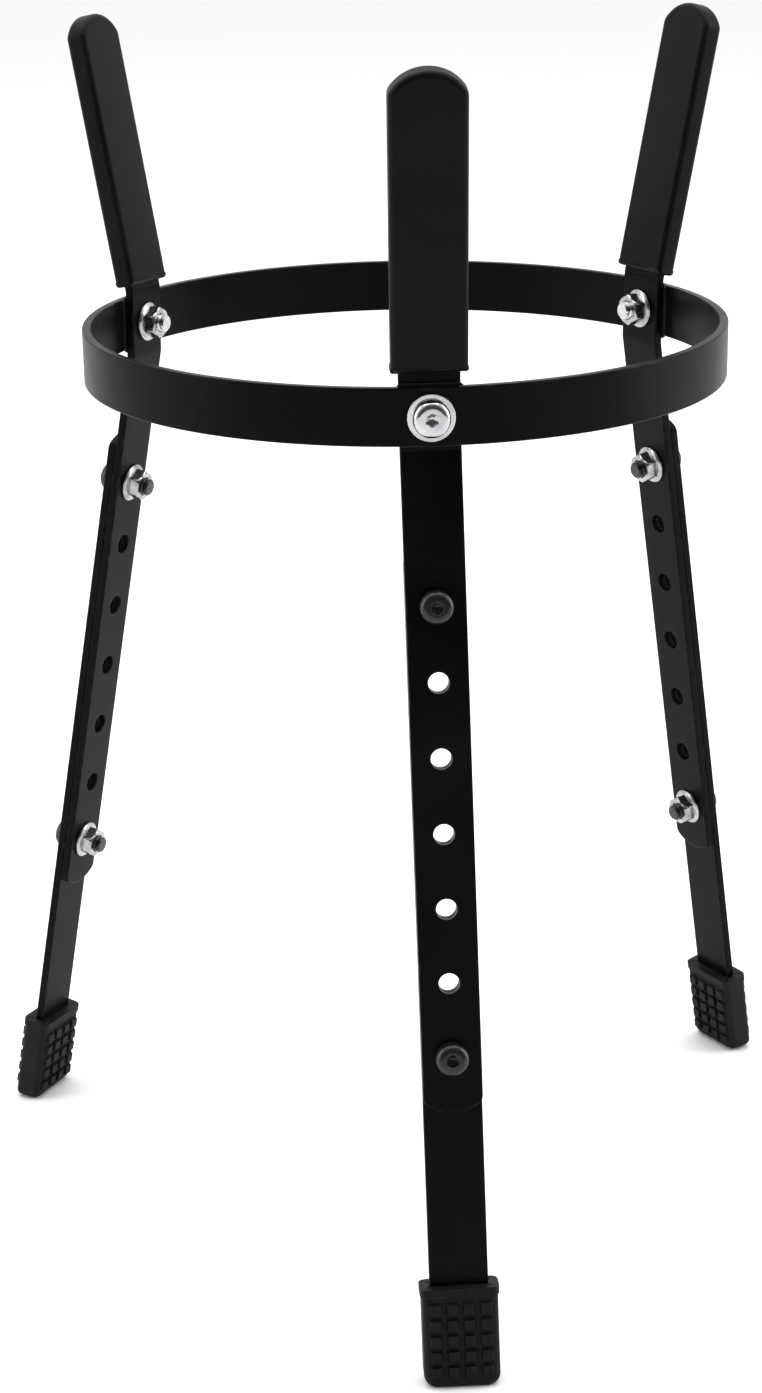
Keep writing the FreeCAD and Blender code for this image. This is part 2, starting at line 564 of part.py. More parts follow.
os.makedirs("parts", exist_ok=True)
for body in pieces:
    body.Shape.exportStep(f"parts/{body.Label}.step")
print(len(pieces), "pieces, hoop at", round(ring_z, 2))
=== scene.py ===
import bmesh
import bpy
import json
import math
from mathutils import Matrix, Vector


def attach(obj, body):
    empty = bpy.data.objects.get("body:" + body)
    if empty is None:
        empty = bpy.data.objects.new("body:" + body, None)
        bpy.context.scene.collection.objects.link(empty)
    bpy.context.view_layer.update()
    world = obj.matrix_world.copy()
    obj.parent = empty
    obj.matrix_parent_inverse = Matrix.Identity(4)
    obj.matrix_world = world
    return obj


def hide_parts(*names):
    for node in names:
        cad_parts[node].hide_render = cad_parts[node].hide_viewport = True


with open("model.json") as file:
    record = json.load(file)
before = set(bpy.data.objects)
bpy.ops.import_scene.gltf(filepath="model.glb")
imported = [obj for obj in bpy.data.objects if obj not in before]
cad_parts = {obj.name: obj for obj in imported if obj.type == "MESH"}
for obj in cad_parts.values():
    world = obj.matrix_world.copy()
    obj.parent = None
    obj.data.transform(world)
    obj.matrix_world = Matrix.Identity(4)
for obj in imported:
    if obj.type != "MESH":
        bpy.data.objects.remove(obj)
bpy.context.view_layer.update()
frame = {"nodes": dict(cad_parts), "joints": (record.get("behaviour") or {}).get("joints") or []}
print("frame loaded:", len(frame["nodes"]), "nodes")

# A stand for a conga drum: a flat hoop, three uprights bolted inside it, and on each leg an extension
# bar with a rubber foot.
weldGap = 1e-6
near = 1e-5
joints = {joint["name"]: joint for joint in frame["joints"]}
legNames = [name[:-len("_swivel")] for name in joints if name.endswith("_swivel")]
insideLegs = ("front",)  # legs whose extension bar lies inside the upright

hoop = dict(radius=0.143, wall=0.004, band=0.024, edge=0.0007, steps=240)
bar = dict(width=0.025, thick=0.004, edge=0.0007, arch=0.018, shoulder=0.004,
           seat=0.030, bend=0.006, lean=math.radians(11.5), leg=0.276, arm=0.122)
row = dict(first=0.063, pitch=0.0315, count=7, radius=0.0044, steps=40)
extension = dict(above=0.024, drop=0.3965, sole=0.007)


def hoopFrame(leg, up=Vector((0, 0, 1))):
    swivel = joints[leg + "_swivel"]
    out = Vector(swivel["axis"])  # X outward, origin on the upright's outer face, at the hoop bolt
    matrix = Matrix((out, up.cross(out), up)).transposed().to_4x4()
    matrix.translation = Vector(swivel["pos_m"])
    return matrix


def seatFrame(leg):
    out = Vector(joints[leg + "_swivel"]["axis"])
    down = Vector(joints[leg + "_height"]["axis"])
    up = (out * down.dot(out) - down).normalized()  # set round on the bolt as the leg is
    return hoopFrame(leg, up)


def splayOf(leg):
    down = Vector(joints[leg + "_height"]["axis"])
    return math.asin(down.dot(Vector(joints[leg + "_swivel"]["axis"])))


def legFrame(leg, outward=0):
    turn = Matrix.Rotation(-splayOf(leg), 4, "Y")
    bend = seatFrame(leg) @ Matrix.Translation((0, 0, -bar["seat"] / 2)) @ turn
    return bend @ Matrix.Translation((outward, 0, 0))


def armFrame(leg):
    turn = Matrix.Rotation(bar["lean"], 4, "Y")
    return seatFrame(leg) @ Matrix.Translation((0, 0, bar["seat"] / 2)) @ turn


def addPiece(name, bm, matrix, body, node, material, creaseAngle=40, bevel=None):
    bmesh.ops.remove_doubles(bm, verts=bm.verts, dist=weldGap)
    bmesh.ops.recalc_face_normals(bm, faces=bm.faces)
    bmesh.ops.transform(bm, matrix=matrix, verts=bm.verts)
    for edge in bm.edges:
        edge.smooth = not edge.is_manifold or edge.calc_face_angle(0) < math.radians(creaseAngle)
    for face in bm.faces:
        face.smooth = True
    mesh = bpy.data.meshes.new(name)
    bm.to_mesh(mesh)
    bm.free()
    mesh.materials.append(material)
    piece = bpy.data.objects.new(name, mesh)
    bpy.context.scene.collection.objects.link(piece)
    if bevel:
        soften = piece.modifiers.new("soft edges", "BEVEL")
        soften.width = bevel
        soften.segments = 2
        soften.limit_method = "ANGLE"
        soften.angle_limit = math.radians(creaseAngle)
    shading = piece.modifiers.new("even shading", "WEIGHTED_NORMAL")
    shading.keep_sharp = True
    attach(piece, body)
    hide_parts(node)


# Clockwise, so that it cuts a hole.
def circlePoints(z, radius, steps):
    turns = [2 * math.pi * step / steps for step in range(steps)]
    return [(radius * math.sin(turn), z + radius * math.cos(turn)) for turn in turns]


# The right half of an arched end, from the bar's side up to its tip, as (across, along).
def archPoints(half, tip, arch, shoulder, steps=10):
    middle = tip - arch
    turn = math.asin((half - shoulder) / (arch - shoulder))
    corner = middle + (arch - shoulder) * math.cos(turn)
    points = []
    for step in range(steps + 1):
        angle = math.pi / 2 - (math.pi / 2 - turn) * step / steps
        across = half - shoulder + shoulder * math.sin(angle)
        points.append((across, corner + shoulder * math.cos(angle)))
    for step in range(1, steps + 1):
        angle = turn * (1 - step / steps)
        points.append((arch * math.sin(angle), middle + arch * math.cos(angle)))
    return points


def endPoints(half, tip, arch, shoulder):
    right = archPoints(half, tip, arch, shoulder)
    return right + [(-across, along) for across, along in reversed(right[:-1])]


def squarePoints(half, tip, corner, steps=6):
    right = []
    for step in range(steps + 1):
        angle = math.pi / 2 * step / steps
        across = half - corner + corner * math.cos(angle)
        right.append((across, tip - corner + corner * math.sin(angle)))
    return right + [(-across, along) for across, along in reversed(right)]


def flipped(points):
    return [(-across, -along) for across, along in points]


# A flat plate with rounded rims. It faces X, its outer face is at x = 0, and it runs along Z.
def cutPlate(outline, holes, thick, edge, fineness):
    curve = bpy.data.curves.new("blank", "CURVE")
    curve.dimensions = "2D"
    curve.fill_mode = "BOTH"
    curve.extrude = thick / 2 - edge
    curve.bevel_depth = edge
    curve.bevel_resolution = fineness
    curve.offset = -edge
    for points in [outline] + holes:
        spline = curve.splines.new("POLY")
        spline.points.add(len(points) - 1)
        spline.use_cyclic_u = True
        for point, (across, along) in zip(spline.points, points):
            point.co = (across, along, 0, 1)
    blank = bpy.data.objects.new("blank", curve)
    bm = bmesh.new()
    bm.from_mesh(bpy.data.meshes.new_from_object(blank))
    bpy.data.objects.remove(blank)
    bpy.data.curves.remove(curve)
    for vert in bm.verts:
        across, along, through = vert.co
        vert.co = (through - thick / 2, across, along)
    bmesh.ops.remove_doubles(bm, verts=bm.verts, dist=weldGap)
    return bm


def cutAcross(bm, axis, places):
    normal = Vector((axis == "X", axis == "Y", axis == "Z"))
    for place in places:
        bmesh.ops.bisect_plane(bm, geom=bm.verts[:] + bm.edges[:] + bm.faces[:], dist=weldGap,
                               plane_co=normal * place, plane_no=normal)


# Loops stacked along Z. Each is (radius, height), or (half flats, height, most) for a six-sided one.
def turnedLoops(bm, loops, steps, closed=False):
    ring = bmesh.ops.create_circle(bm, segments=steps, radius=1)["verts"]
    edges = bm.edges[:]
    for number, (radius, height, *most) in enumerate(loops + loops[:1] * closed):
        if number:
            made = bmesh.ops.extrude_edge_only(bm, edges=edges)["geom"]
            ring = [item for item in made if isinstance(item, bmesh.types.BMVert)]
            edges = [item for item in made if isinstance(item, bmesh.types.BMEdge)]
        for vert in ring:
            angle = math.atan2(vert.co.y, vert.co.x)
            reach = radius
            if most:
                reach = min(radius / math.cos(angle % (math.pi / 3) - math.pi / 6), most[0])
            vert.co = (reach * math.cos(angle), reach * math.sin(angle), height)
    return ring


# Loops round the outer corner at (radius, height), from its top face to its side.
def roundOver(radius, height, size, steps=8):
    loops = []
    for step in range(steps + 1):
        angle = math.pi / 2 * step / steps
        reach = radius - size + size * math.sin(angle)
        loops.append((reach, height - size + size * math.cos(angle)))
    return loops


outwards = Matrix.Rotation(math.pi / 2, 4, "Y")  # turns a piece made along Z to point along X
inwards = Matrix.Rotation(-math.pi / 2, 4, "Y")


def newGroup(name, inputs, outputs):
    tree = bpy.data.node_groups.new(name, "ShaderNodeTree")
    for label, kind, value in inputs:
        socket = tree.interface.new_socket(label, in_out="INPUT", socket_type=kind)
        if value is not None:
            socket.default_value = value
    for label, kind in outputs:
        tree.interface.new_socket(label, in_out="OUTPUT", socket_type=kind)
    return tree, tree.nodes.new("NodeGroupInput"), tree.nodes.new("NodeGroupOutput")


# A node with its settings. Its inputs go by name, or by number as i0, i1, and each is a value or a link.
def addNode(tree, kind, settings=None, **inputs):
    node = tree.nodes.new(kind)
    for key, value in (settings or {}).items():
        setattr(node, key, value)
    for key, value in inputs.items():
        numbered = key[0] == "i" and key[1:].isdigit()
        socket = node.inputs[int(key[1:]) if numbered else key.replace("_", " ")]
        if isinstance(value, bpy.types.NodeSocket):
            tree.links.new(value, socket)
        else:
            socket.default_value = value
    return node


def mathNode(tree, operation, first, second=0.0, clamp=False):
    settings = dict(operation=operation, use_clamp=clamp)
    return addNode(tree, "ShaderNodeMath", settings, i0=first, i1=second).outputs[0]


def stretch(tree, value, low, high, toLow, toHigh):
    return addNode(tree, "ShaderNodeMapRange", None, Value=value, From_Min=low, From_Max=high,
                   To_Min=toLow, To_Max=toHigh).outputs["Result"]


def mixColours(tree, factor, first, second):
    node = addNode(tree, "ShaderNodeMix", dict(data_type="RGBA"))
    for index, value in ((0, factor), (6, first), (7, second)):
        if isinstance(value, bpy.types.NodeSocket):
            tree.links.new(value, node.inputs[index])
        else:
            node.inputs[index].default_value = value
    return node.outputs[2]


def makeGrainGroup():
    tree, start, end = newGroup(
        "surface grain",
        (("Vector", "NodeSocketVector", None), ("Grain", "NodeSocketFloat", 900),
         ("Drift", "NodeSocketFloat", 20)),
        (("Height", "NodeSocketFloat"), ("Tone", "NodeSocketFloat"), ("Speck", "NodeSocketFloat")))
    where = start.outputs["Vector"]
    fine = addNode(tree, "ShaderNodeTexNoise", None, Vector=where, Scale=start.outputs["Grain"],
                   Detail=3.0, Roughness=0.55)
    broad = addNode(tree, "ShaderNodeTexNoise", None, Vector=where, Scale=start.outputs["Drift"],
                    Detail=4.0, Roughness=0.6)
    double = mathNode(tree, "MULTIPLY", start.outputs["Grain"], 1.7)
    specks = addNode(tree, "ShaderNodeTexVoronoi", dict(feature="F1"), Vector=where, Scale=double)
    speck = stretch(tree, specks.outputs["Distance"], 0.05, 0.16, 1.0, 0.0)
    rare = stretch(tree, broad.outputs["Fac"], 0.56, 0.64, 0.0, 1.0)
    tree.links.new(fine.outputs["Fac"], end.inputs["Height"])
    tree.links.new(broad.outputs["Fac"], end.inputs["Tone"])
    tree.links.new(mathNode(tree, "MULTIPLY", speck, rare), end.inputs["Speck"])
    return tree


def makeWearGroup():
    tree, start, end = newGroup(
        "edge wear",
        (("Vector", "NodeSocketVector", None), ("Reach", "NodeSocketFloat", 0.001),
         ("Break", "NodeSocketFloat", 160)),
        (("Edge", "NodeSocketFloat"), ("Worn", "NodeSocketFloat")))
    rounded = addNode(tree, "ShaderNodeBevel", dict(samples=4), Radius=start.outputs["Reach"])
    plain = addNode(tree, "ShaderNodeNewGeometry")
    both = addNode(tree, "ShaderNodeVectorMath", dict(operation="DOT_PRODUCT"),
                   i0=rounded.outputs[0], i1=plain.outputs["Normal"])
    edge = stretch(tree, both.outputs["Value"], 0.995, 0.86, 0.0, 1.0)
    patch = addNode(tree, "ShaderNodeTexNoise", None, Vector=start.outputs["Vector"],
                    Scale=start.outputs["Break"], Detail=5.0)
    worn = mathNode(tree, "MULTIPLY", edge, stretch(tree, patch.outputs["Fac"], 0.48, 0.66, 0.0, 1.0))
    tree.links.new(edge, end.inputs["Edge"])
    tree.links.new(worn, end.inputs["Worn"])
    return tree


def newFinish(name):
    material = bpy.data.materials.new(name)
    material.use_nodes = True
    tree = material.node_tree
    shader = tree.nodes["Principled BSDF"]
    where = addNode(tree, "ShaderNodeTexCoord").outputs["Object"]
    return material, tree, shader, where


def bumped(tree, shader, height, strength, distance):
    bump = addNode(tree, "ShaderNodeBump", None, Height=height, Strength=strength, Distance=distance)
    tree.links.new(bump.outputs[0], shader.inputs["Normal"])


# Black paint or rubber: a dark body with grain, broad drift, specks of dust and worn edges.
def makeCoated(name, look):
    material, tree, shader, where = newFinish(name)
    grain = addNode(tree, "ShaderNodeGroup", dict(node_tree=grainGroup), Vector=where,
                    Grain=look["grain"], Drift=look["drift"])
    wear = addNode(tree, "ShaderNodeGroup", dict(node_tree=wearGroup), Vector=where,
                   Reach=look["reach"], Break=look["broken"])
    tone = grain.outputs["Tone"]
    colour = mixColours(tree, stretch(tree, tone, 0.3, 0.7, 0.0, 1.0), look["dark"], look["light"])
    worn = mathNode(tree, "MULTIPLY", wear.outputs["Worn"], look["wear"])
    colour = mixColours(tree, worn, colour, look["under"])
    dusty = mathNode(tree, "MULTIPLY", grain.outputs["Speck"], look["dust"])
    colour = mixColours(tree, dusty, colour, look["dustColour"])
    tree.links.new(colour, shader.inputs["Base Color"])
    rough = stretch(tree, tone, 0.25, 0.75, look["rough"] - look["vary"], look["rough"] + look["vary"])
    rubbed = mathNode(tree, "MULTIPLY", wear.outputs["Edge"], look["edgeRough"])
    rough = mathNode(tree, "ADD", rough, rubbed, True)
    tree.links.new(rough, shader.inputs["Roughness"])
    shader.inputs["Specular IOR Level"].default_value = look["shine"]
    bumped(tree, shader, grain.outputs["Height"], look["bump"], look["depth"])
    return material


# Bright metal: plating with fine scratches and mottling.
def makePlated(name, look):
    material, tree, shader, where = newFinish(name)
    grain = addNode(tree, "ShaderNodeGroup", dict(node_tree=grainGroup), Vector=where,
                    Grain=look["grain"], Drift=look["drift"])
    hair = addNode(tree, "ShaderNodeMapping", None, Vector=where, Scale=look["hairs"])
    scratch = addNode(tree, "ShaderNodeTexNoise", None, Vector=hair.outputs[0], Scale=1.0, Detail=6.0,
                      Roughness=0.7)
    mottle = stretch(tree, grain.outputs["Tone"], 0.35, 0.65, 0.0, 1.0)
    colour = mixColours(tree, mottle, look["dark"], look["light"])
    tree.links.new(colour, shader.inputs["Base Color"])
    rough = stretch(tree, scratch.outputs["Fac"], 0.3, 0.7,
                    look["rough"] - look["vary"], look["rough"] + look["vary"])
    tree.links.new(rough, shader.inputs["Roughness"])
    shader.inputs["Metallic"].default_value = 1
    half = mathNode(tree, "MULTIPLY", grain.outputs["Height"], 0.5)
    height = mathNode(tree, "ADD", half, scratch.outputs["Fac"])
    bumped(tree, shader, height, look["bump"], look["depth"])
    return material


grainGroup = makeGrainGroup()
wearGroup = makeWearGroup()
paint = makeCoated("satin black powder coat", dict(
    grain=1100, drift=16, reach=0.0009, broken=210,
    dark=(0.002, 0.002, 0.0024, 1), light=(0.005, 0.005, 0.0056, 1),
    under=(0.14, 0.14, 0.145, 1), wear=0.55, dust=0.2, dustColour=(0.1, 0.1, 0.1, 1),
    rough=0.32, vary=0.07, edgeRough=-0.04, shine=0.07, bump=0.22, depth=0.0002))
sleeveRubber = makeCoated("satin black sleeve rubber", dict(
    grain=600, drift=26, reach=0.0015, broken=120,
    dark=(0.003, 0.003, 0.0034, 1), light=(0.007, 0.007, 0.0074, 1),
    under=(0.05, 0.05, 0.05, 1), wear=0.55, dust=0.25, dustColour=(0.09, 0.09, 0.09, 1),
    rough=0.42, vary=0.08, edgeRough=0.05, shine=0.1, bump=0.3, depth=0.0002))
footRubber = makeCoated("matt black foot rubber", dict(
    grain=800, drift=60, reach=0.0008, broken=260,
    dark=(0.005, 0.005, 0.005, 1), light=(0.011, 0.011, 0.011, 1),
    under=(0.06, 0.06, 0.058, 1), wear=0.6, dust=0.4, dustColour=(0.1, 0.1, 0.095, 1),
    rough=0.55, vary=0.08, edgeRough=0.06, shine=0.16, bump=0.4, depth=0.0002))
blackBolt = makeCoated("oiled black bolt", dict(
    grain=1500, drift=120, reach=0.0006, broken=500,
    dark=(0.006, 0.006, 0.0065, 1), light=(0.012, 0.012, 0.013, 1),
    under=(0.16, 0.16, 0.16, 1), wear=0.45, dust=0.1, dustColour=(0.12, 0.12, 0.12, 1),
    rough=0.27, vary=0.06, edgeRough=0.02, shine=0.5, bump=0.15, depth=0.0001))
spacerPlastic = makeCoated("black spacer plastic", dict(
    grain=900, drift=50, reach=0.0006, broken=300,
    dark=(0.012, 0.012, 0.012, 1), light=(0.02, 0.02, 0.02, 1),
    under=(0.06, 0.06, 0.06, 1), wear=0.4, dust=0.2, dustColour=(0.15, 0.15, 0.15, 1),
    rough=0.5, vary=0.06, edgeRough=0.03, shine=0.4, bump=0.3, depth=0.0002))
chrome = makePlated("polished chrome", dict(
    grain=700, drift=70, hairs=(900, 300, 2400),
    dark=(0.44, 0.44, 0.455, 1), light=(0.62, 0.62, 0.63, 1),
    rough=0.09, vary=0.035, bump=0.02, depth=0.0001))
zinc = makePlated("bright zinc plate", dict(
    grain=900, drift=180, hairs=(700, 700, 1600),
    dark=(0.3, 0.3, 0.305, 1), light=(0.5, 0.5, 0.51, 1),
    rough=0.24, vary=0.07, bump=0.08, depth=0.0001))
print("finishes made")


def makeHoop():
    half = hoop["band"] / 2
    outer = roundOver(hoop["radius"], half, hoop["edge"], 4)
    inner = [(2 * hoop["radius"] - hoop["wall"] - radius, height) for radius, height in outer]
    section = outer + [(radius, -height) for radius, height in reversed(outer)]
    section += [(radius, -height) for radius, height in inner] + list(reversed(inner))
    bm = bmesh.new()
    turnedLoops(bm, section, hoop["steps"], closed=True)
    place = Matrix.Translation((0, 0, joints[legNames[0] + "_swivel"]["pos_m"][2]))
    addPiece("hoop_band", bm, place, "hoop", "ring", paint)


makeHoop()


# Moves a point of the flat blank on to the bend towards +X, above the seat or below it as sign says.
def bendUp(vert, angle, sign):
    radius = bar["bend"]
    tangent = radius * math.tan(angle / 2)
    start = bar["seat"] / 2 - tangent
    past = vert.co.z * sign - start
    if past <= 0:
        return
    turn = min(past / radius, angle)
    reach = radius - vert.co.x
    x = radius - reach * math.cos(turn)
    z = start + reach * math.sin(turn)
    straight = max(past - radius * angle, 0)
    vert.co = (x + straight * math.sin(angle), vert.co.y, sign * (z + straight * math.cos(angle)))


# Where a distance from a bend's corner lies on the flat blank, measured from the seat's middle.
def alongBlank(distance, angle):
    return bar["seat"] / 2 + distance - 2 * bar["bend"] * math.tan(angle / 2) + bar["bend"] * angle


# How far a leg hole lies below the lower bend.
def holeAt(number):
    return row["first"] + number * row["pitch"]


def holesAt(places):
    return [circlePoints(place, row["radius"], row["steps"]) for place in places]


def makeUpright(leg):
    splay, lean = splayOf(leg), bar["lean"]
    top = alongBlank(bar["arm"], lean)
    bottom = alongBlank(bar["leg"], splay)
    outline = (endPoints(bar["width"] / 2, top, bar["arch"], bar["shoulder"])
               + flipped(endPoints(bar["width"] / 2, bottom, bar["arch"], bar["shoulder"])))
    places = [-alongBlank(holeAt(number), splay) for number in range(row["count"])]
    bm = cutPlate(outline, holesAt(places), bar["thick"], bar["edge"], 2)
    for angle, sign in ((splay, -1), (lean, 1)):
        start = bar["seat"] / 2 - bar["bend"] * math.tan(angle / 2)
        cutAcross(bm, "Z", [sign * (start + bar["bend"] * angle * step / 4) for step in range(5)])
        for vert in bm.verts:
            bendUp(vert, angle, sign)
    addPiece("upright_bar_" + leg, bm, seatFrame(leg), "post_" + leg, "upright_" + leg,
             paint)


def extensionOffset(leg):
    return -2 * bar["thick"] if leg in insideLegs else 0


def makeExtension(leg):
    half = bar["width"] / 2
    low = extension["drop"] - extension["sole"]
    outline = (endPoints(half, extension["above"] - row["first"], bar["arch"], bar["shoulder"])
               + flipped(squarePoints(half, low, bar["edge"])))
    places = [-holeAt(number) for number in range(row["count"])]
    bm = cutPlate(outline, holesAt(places), bar["thick"], bar["edge"], 2)
    place = legFrame(leg, extensionOffset(leg) + bar["thick"])
    addPiece("extension_bar_" + leg, bm, place, "leg_" + leg, "leg_extension_" + leg,
             paint)


for leg in legNames:
    makeUpright(leg)
    makeExtension(leg)
print("bars made")


sleeve = dict(width=0.031, wall=0.003, tip=0.0035, gap=0.0025, edge=0.0024, shoulder=0.005,
              corner=0.0012, crown=0.0004, crownFade=0.02, lip=0.0004, lipHeight=0.0025, lipShare=0.8,
              cutsAcross=8, cutsAlong=20)


def makeSleeve(leg):
    half = sleeve["width"] / 2
    thick = bar["thick"] + 2 * sleeve["wall"]
    top = bar["arm"] + sleeve["tip"]
    outline = (endPoints(half, top, bar["arch"], sleeve["shoulder"])
               + flipped(squarePoints(half, -sleeve["gap"], sleeve["corner"])))
    bm = cutPlate(outline, [], thick, sleeve["edge"], 5)
    wide, tall = sleeve["cutsAcross"], sleeve["cutsAlong"]
    lipTop = sleeve["gap"] + sleeve["lipHeight"]
    cutAcross(bm, "Y", [half * share / wide for share in range(1 - wide, wide)])
    cutAcross(bm, "Z", [sleeve["gap"] + top * share / tall for share in range(1, tall - 1)] + [lipTop])
    for vert in bm.verts:
        across = vert.co.y / half
        fade = min((vert.co.z - sleeve["gap"]) / sleeve["crownFade"],
                   (top - vert.co.z) / sleeve["crownFade"], 1)
        swell = 1 + sleeve["crown"] / (thick / 2) * (1 - across * across) * max(fade, 0)
        vert.co.x = (vert.co.x + thick / 2) * swell - thick / 2
        if vert.co.z < lipTop - near and abs(across) > sleeve["lipShare"]:
            vert.co.y += math.copysign(sleeve["lip"], vert.co.y)
    place = armFrame(leg) @ Matrix.Translation((sleeve["wall"], 0, 0))
    addPiece("arm_sleeve_" + leg, bm, place, "post_" + leg, "sleeve_" + leg,
             sleeveRubber)


for leg in legNames:
    makeSleeve(leg)
print("sleeves made")


foot = dict(width=0.0326, thick=0.013, height=0.044, corner=0.005, edge=0.0028, soft=0.00035,
            rim=0.0035, proud=0.0006, mouthGap=0.0003, mouthDepth=0.002)
tread = dict(first=0.009, down=0.0069, across=0.0072, rows=5, columns=4, block=0.005, proud=0.0015,
             draft=0.84)


def makeFoot(leg):
    middle = extensionOffset(leg) + bar["thick"] / 2
    top = foot["height"] - extension["drop"]
    place = legFrame(leg, middle)
    level = place.to_3x3().transposed() @ Vector((0, 0, 1))  # the floor's normal, seen from the foot
    floorUnder = place.inverted() @ Vector((0, 0, 0))
    halfThick, halfWidth = foot["thick"] / 2, foot["width"] / 2
    bm = bmesh.new()
    for vert in bmesh.ops.create_cube(bm, size=2)["verts"]:
        x, y = vert.co.x * halfThick, vert.co.y * halfWidth
        sole = floorUnder.z - ((x - floorUnder.x) * level.x + (y - floorUnder.y) * level.y) / level.z
        vert.co = (x, y, top if vert.co.z > 0 else sole)
    lowCorners = [edge for edge in bm.edges
                  if abs(edge.verts[0].co.y + edge.verts[1].co.y) > foot["width"] * 0.99
                  and all(vert.co.z < top - foot["height"] / 2 for vert in edge.verts)]
    bmesh.ops.bevel(bm, geom=lowCorners, offset=foot["corner"], segments=8, profile=0.5,
                    affect="EDGES", material=-1)
    rims = [edge for edge in bm.edges
            if any(abs(face.normal.x) > 0.9 for face in edge.link_faces)
            and any(vert.co.z < top - near for vert in edge.verts)]
    bmesh.ops.bevel(bm, geom=rims, offset=foot["edge"], segments=4, profile=0.5,
                    affect="EDGES", material=-1)

    middleColumn = (tread["columns"] - 1) / 2
    columns = [tread["across"] * (number - middleColumn) for number in range(tread["columns"])]
    rows = [top - tread["first"] - tread["down"] * number for number in range(tread["rows"])]
    side = tread["block"] / 2
    cutAcross(bm, "Y", [column + shift for column in columns for shift in (-side, side)])
    cutAcross(bm, "Z", [line + shift for line in rows for shift in (-side, side)] + [top - foot["rim"]])
    bm.normal_update()
    blocks = []
    for face in bm.faces:
        centre = face.calc_center_median()
        inColumn = any(abs(centre.y - column) < side * 0.2 for column in columns)
        inRow = any(abs(centre.z - line) < side * 0.2 for line in rows)
        if abs(face.normal.x) > 0.99 and inColumn and inRow:
            blocks.append(face)
    for face in bmesh.ops.extrude_discrete_faces(bm, faces=blocks)["faces"]:
        centre = face.calc_center_median()
        lift = Vector((math.copysign(tread["proud"], centre.x), 0, 0))
        for vert in face.verts:
            vert.co = centre + (vert.co - centre) * tread["draft"] + lift

    bm.normal_update()
    band = [face for face in bm.faces
            if face.calc_center_median().z > top - foot["rim"] and abs(face.normal.z) < 0.5]
    made = bmesh.ops.extrude_face_region(bm, geom=band)["geom"]
    bmesh.ops.delete(bm, geom=band, context="FACES")
    lifted = [item for item in made if isinstance(item, bmesh.types.BMVert)]
    for vert in lifted:
        out = Vector((vert.co.x / halfThick, vert.co.y / halfWidth, 0))
        push = Vector([math.copysign(abs(part) > 0.99, part) for part in (out.x, out.y)] + [0])
        vert.co += (push if push.length else out).normalized() * foot["proud"]

    bm.normal_update()
    mouth = [face for face in bm.faces
             if face.normal.z > 0.99 and abs(face.calc_center_median().z - top) < near]
    wall = halfThick + foot["proud"] - bar["thick"] / 2 - foot["mouthGap"]
    bmesh.ops.inset_region(bm, faces=mouth, thickness=wall, use_even_offset=True, use_boundary=True)
    made = bmesh.ops.extrude_face_region(bm, geom=mouth)["geom"]
    bmesh.ops.delete(bm, geom=mouth, context="FACES")
    bmesh.ops.translate(bm, verts=[item for item in made if isinstance(item, bmesh.types.BMVert)],
                        vec=(0, 0, -foot["mouthDepth"]))
    addPiece("rubber_foot_" + leg, bm, place, "leg_" + leg, "foot_" + leg,
             footRubber, creaseAngle=30, bevel=foot["soft"])


for leg in legNames:
    makeFoot(leg)
print("feet made")


metric = dict(shank=0.004, root=0.0034, pitch=0.00125, chamfer=0.0007, past=0.003, underHead=0.0003,
              steps=48, crease=32)
socket = dict(flats=0.005, depth=0.0028, lead=0.00018)
legHead = dict(radius=0.007, height=0.0064, dome=0.0032)
hoopHead = dict(radius=0.00775, height=0.0048, dome=0.0032)
nut = dict(flats=0.013, height=0.0076, flange=0.0089, flangeThick=0.0016, chamfer=0.0011, bore=0.00402,
           lip=0.0003, boreLead=0.0005)
washer = dict(radius=0.00975, bore=0.0042, thick=0.0016, edge=0.0003)
spacer = dict(thick=0.0015)


def makeBolt(name, head, grip, place, body, node, material):
    half, top = socket["flats"] / 2, head["height"]
    corner = half / math.cos(math.pi / 6)
    lead = socket["lead"]
    floor = top - socket["depth"]
    loops = [(near, floor - half / 2), (half * 0.5, floor - half / 4), (half, floor, corner),
             (half, top - lead, corner), (half + lead, top, corner + lead),
             (half + 3 * lead, top, corner + 3 * lead)]
    loops += roundOver(head["radius"], top, head["dome"], 10)
    under = metric["underHead"]
    loops += [(head["radius"], under), (head["radius"] - under, 0), (metric["shank"], 0)]
    end = -(grip + nut["height"] + metric["past"])
    threadTop = -(grip + nut["height"] - metric["pitch"])
    turns = int((threadTop - end - metric["chamfer"]) / metric["pitch"])
    for number in range(turns):
        start = threadTop - number * metric["pitch"]
        loops += [(metric["shank"], start), (metric["shank"], start - metric["pitch"] / 8),
                  (metric["root"], start - metric["pitch"] / 2),
                  (metric["root"], start - metric["pitch"] * 5 / 8)]
    loops += [(metric["shank"], end + metric["chamfer"]), (metric["shank"] - metric["chamfer"], end),
              (near, end)]
    bm = bmesh.new()
    last = turnedLoops(bm, loops, metric["steps"])
    bmesh.ops.pointmerge(bm, verts=last, merge_co=(0, 0, end))
    pit = [vert for vert in bm.verts if vert.co.z > 0 and vert.co.xy.length < 2 * near]
    bmesh.ops.pointmerge(bm, verts=pit, merge_co=(0, 0, floor - half / 2))
    addPiece(name, bm, place @ outwards, body, node, material, creaseAngle=metric["crease"])


